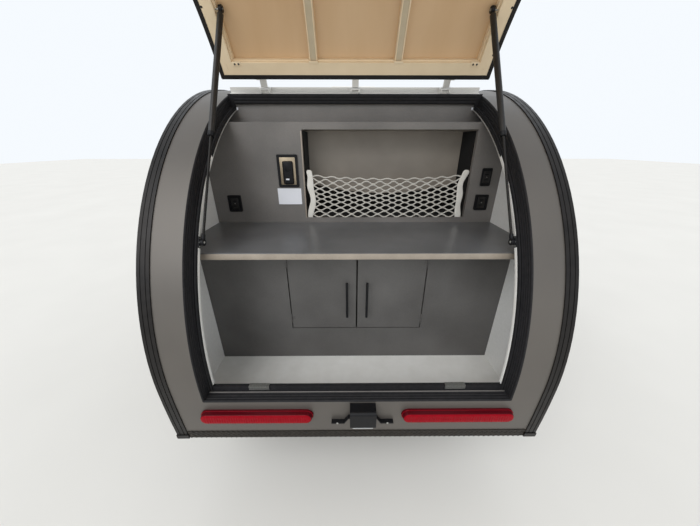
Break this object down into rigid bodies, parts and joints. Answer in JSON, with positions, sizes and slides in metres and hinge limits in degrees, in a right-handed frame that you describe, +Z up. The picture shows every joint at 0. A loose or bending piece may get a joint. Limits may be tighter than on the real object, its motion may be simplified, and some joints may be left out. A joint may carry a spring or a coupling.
{
  "type": "teardrop camping trailer",
  "caption": "Teardrop camping trailer in grey with a rear galley under a raised hatch on gas struts, side doors, a roof vent and an A-frame tongue on its jack.",
  "frame": {"origin": "on the ground, on the centre line, halfway between the raised hatch's tip and the coupler's nose", "axes": "+X to the right seen from behind, +Y forward to the coupler, +Z up"},
  "size_m": [2.004, 4.3742, 2.4542],
  "materials": {
    "body_paint": "satin",
    "trim_black": "satin",
    "floor_panel": "matte",
    "jamb_black": "matte",
    "mill_aluminium": "satin",
    "frame_aluminium": "satin",
    "zinc_steel": "satin",
    "strut_black": "satin",
    "rod_black": "satin",
    "tread_plate": "satin",
    "lamp_red": "gloss",
    "lamp_black": "gloss",
    "galley_laminate": "matte",
    "cubby_laminate": "matte",
    "counter_laminate": "satin",
    "fitting_black": "satin",
    "plate_black": "satin",
    "net_white": "matte",
    "mattress_cloth": "matte",
    "smoked_glass": "gloss",
    "vent_white": "satin",
    "lamp_amber": "gloss",
    "chassis_black": "satin",
    "wheel_aluminium": "satin",
    "tyre_rubber": "matte",
    "fender_black": "satin"
  },
  "bodies": {
    "chassis": {"side_walls": "body_paint", "roof_panel": "body_paint", "nose_panel": "body_paint", "tail_skin": "body_paint", "corner_trims": "trim_black", "floor_deck": "floor_panel", "hatch_jamb": "jamb_black", "hinge_rail": "mill_aluminium", "strut_studs": "zinc_steel", "latch_strikers": "zinc_steel", "tread_strip": "tread_plate", "tail_lights": "lamp_red", "plate_lamp": "lamp_black", "bulkhead": "galley_laminate", "cubby_box": "cubby_laminate", "galley_header": "galley_laminate", "counter": "counter_laminate", "cabinet_face": "galley_laminate", "galley_hinges": "fitting_black", "galley_plates": "plate_black", "cargo_net": "net_white", "mattress": "mattress_cloth", "door_frames": "trim_black", "vent_frame": "vent_white", "marker_lamps": "lamp_amber", "frame_rails": "chassis_black", "cross_members": "chassis_black", "tongue_beams": "chassis_black", "jack_plate": "chassis_black", "coupler": "chassis_black", "jack_tube": "zinc_steel", "axle_beam": "chassis_black", "axle_arms": "chassis_black", "fenders": "fender_black"},
    "jack_leg": {"jack_leg": "zinc_steel"},
    "hatch": {"hatch_skin": "body_paint", "hatch_frame": "frame_aluminium", "hatch_hinges": "mill_aluminium", "hatch_latches": "trim_black", "strut_brackets": "zinc_steel"},
    "strut_tube_left": {"strut_tube_left": "strut_black"},
    "strut_tube_right": {"strut_tube_right": "strut_black"},
    "strut_rod_left": {"strut_rod_left": "rod_black"},
    "strut_rod_right": {"strut_rod_right": "rod_black"},
    "wheel_left": {"tyre_left": "tyre_rubber", "rim_left": "wheel_aluminium"},
    "wheel_right": {"tyre_right": "tyre_rubber", "rim_right": "wheel_aluminium"},
    "side_door_left": {"side_door_left": "body_paint", "window_glass_left": "smoked_glass", "door_fittings_left": "fitting_black"},
    "side_door_right": {"side_door_right": "body_paint", "window_glass_right": "smoked_glass", "door_fittings_right": "fitting_black"},
    "galley_door_left": {"galley_door_left": "galley_laminate", "galley_fittings_left": "fitting_black"},
    "galley_door_right": {"galley_door_right": "galley_laminate", "galley_fittings_right": "fitting_black"},
    "vent_lid": {"vent_lid": "vent_white"}
  },
  "joints": [
    {"name": "hatch_lift", "type": "hinge", "parent": "chassis", "child": "hatch", "pos_m": [0, -0.97616, 1.79804], "axis": [1, 0, 0], "range_deg": [0, 84]},
    {"name": "strut_swing_left", "type": "hinge", "parent": "hatch", "child": "strut_tube_left", "pos_m": [-0.505, -1.16504, 2.01865], "axis": [-1, 0, 0], "range_deg": [0, 97.82]},
    {"name": "strut_slide_left", "type": "slide", "parent": "strut_tube_left", "child": "strut_rod_left", "axis": [0.0644, 0.4345, 0.8984], "range_m": [0, 0.35483]},
    {"name": "strut_swing_right", "type": "hinge", "parent": "hatch", "child": "strut_tube_right", "pos_m": [0.505, -1.16504, 2.01865], "axis": [-1, 0, 0], "range_deg": [0, 97.82]},
    {"name": "strut_slide_right", "type": "slide", "parent": "strut_tube_right", "child": "strut_rod_right", "axis": [-0.0644, 0.4345, 0.8984], "range_m": [0, 0.35483]},
    {"name": "wheel_spin_left", "type": "hinge", "parent": "chassis", "child": "wheel_left", "pos_m": [-0.88, -0.445, 0.3315], "axis": [1, 0, 0], "continuous": true},
    {"name": "wheel_spin_right", "type": "hinge", "parent": "chassis", "child": "wheel_right", "pos_m": [0.88, -0.445, 0.3315], "axis": [1, 0, 0], "continuous": true},
    {"name": "side_door_swing_left", "type": "hinge", "parent": "chassis", "child": "side_door_left", "pos_m": [-0.761, 0.608, 1.04478], "axis": [0, 0, -1], "range_deg": [0, 110]},
    {"name": "side_door_swing_right", "type": "hinge", "parent": "chassis", "child": "side_door_right", "pos_m": [0.761, 0.608, 1.04478], "axis": [0, 0, 1], "range_deg": [0, 110]},
    {"name": "galley_door_swing_left", "type": "hinge", "parent": "chassis", "child": "galley_door_left", "pos_m": [-0.3215, -1.34037, 0.911], "axis": [0, 0, -1], "range_deg": [0, 160]},
    {"name": "galley_door_swing_right", "type": "hinge", "parent": "chassis", "child": "galley_door_right", "pos_m": [0.3335, -1.34037, 0.911], "axis": [0, 0, 1], "range_deg": [0, 160]},
    {"name": "vent_lift", "type": "hinge", "parent": "chassis", "child": "vent_lid", "pos_m": [0, -0.03715, 1.82285], "axis": [-1, 0, 0], "range_deg": [0, 60]},
    {"name": "jack_slide", "type": "slide", "parent": "chassis", "child": "jack_leg", "axis": [0, 0, 1], "range_m": [0, 0.2]}
  ],
  "couplings": [
    {"joint": "strut_swing_left", "follows": "hatch_lift", "ratio": 1.1644},
    {"joint": "strut_slide_left", "follows": "hatch_lift", "m_per_rad": 0.24196},
    {"joint": "strut_swing_right", "follows": "hatch_lift", "ratio": 1.1644},
    {"joint": "strut_slide_right", "follows": "hatch_lift", "m_per_rad": 0.24196}
  ]
}
